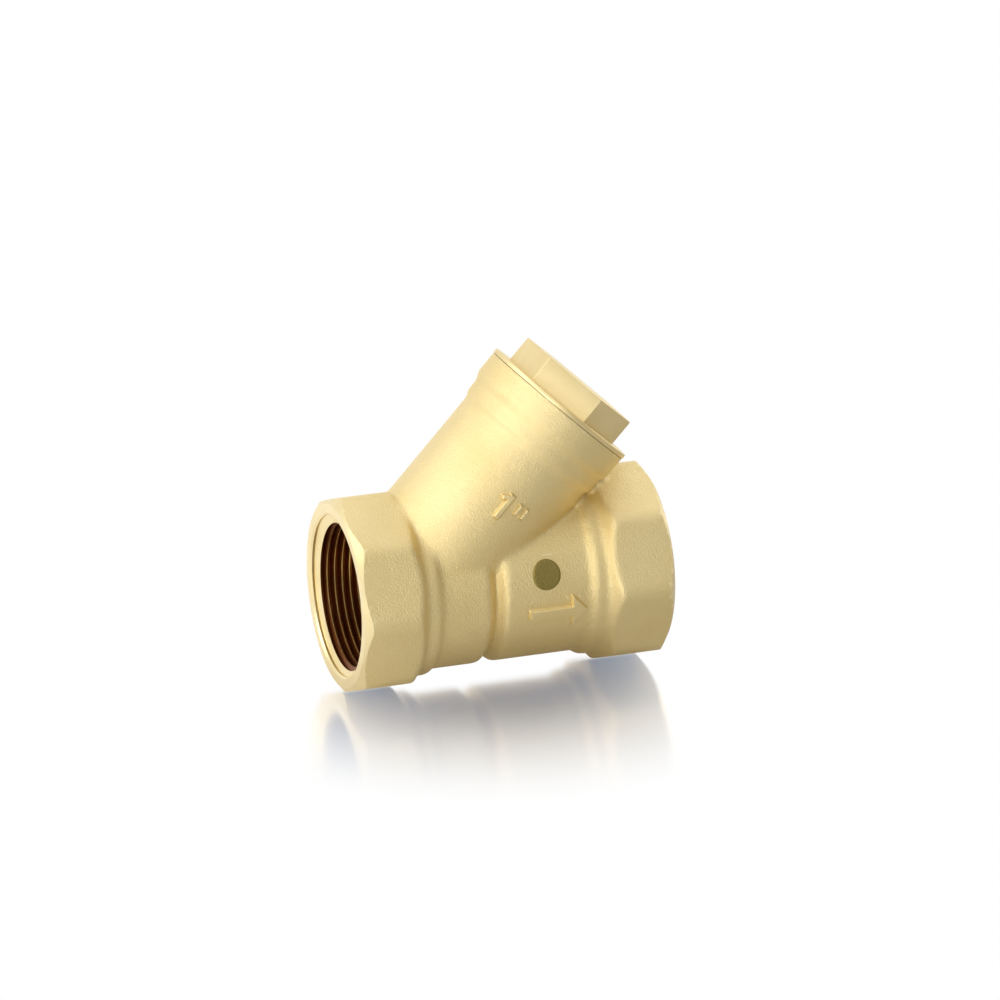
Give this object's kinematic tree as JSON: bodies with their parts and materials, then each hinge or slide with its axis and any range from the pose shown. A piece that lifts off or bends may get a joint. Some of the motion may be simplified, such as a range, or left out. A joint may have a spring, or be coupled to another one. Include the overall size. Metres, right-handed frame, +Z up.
{
  "type": "y strainer",
  "caption": "Brass Y strainer with threaded octagonal ends, a hexagon-headed branch cap and a removable stainless screen basket.",
  "frame": {"origin": "centre of the inlet end face, on the run axis", "axes": "+X along the run in the direction of flow, +Z up in the plane of the branch, +Y to the left of the flow"},
  "size_m": [0.068, 0.043, 0.0702],
  "materials": {
    "forged_brass": "sandblasted forging with machined ends",
    "turned_brass": "fine turned and milled brass",
    "gasket_fibre": "pressed red-brown fibre",
    "screen_steel": "rolled stainless sheet",
    "screen_mesh": "fine woven stainless wire"
  },
  "bodies": {
    "housing": {"body": "forged_brass"},
    "screen": {"screen_support_tube": "screen_steel", "screen_mesh_sleeve": "screen_mesh", "screen_top_ring": "screen_steel", "screen_bottom_ring": "screen_steel"},
    "cap_seal": {"cap_gasket": "gasket_fibre"},
    "cap": {"cap": "turned_brass"}
  },
  "joints": [
    {"name": "screen_withdraw", "type": "slide", "parent": "housing", "child": "screen", "axis": [0.682, 0, 0.7314], "range_m": [0, 0.045]},
    {"name": "cap_rise", "type": "slide", "parent": "screen", "child": "cap_seal", "axis": [0.682, 0, 0.7314], "range_m": [0, 0.009]},
    {"name": "cap_turn", "type": "hinge", "parent": "cap_seal", "child": "cap", "pos_m": [0.0157, 0, 0], "axis": [0.682, 0, 0.7314], "range_deg": [0, 2160]}
  ],
  "couplings": [
    {"joint": "cap_rise", "follows": "cap_turn", "m_per_rad": 0.0002387}
  ]
}
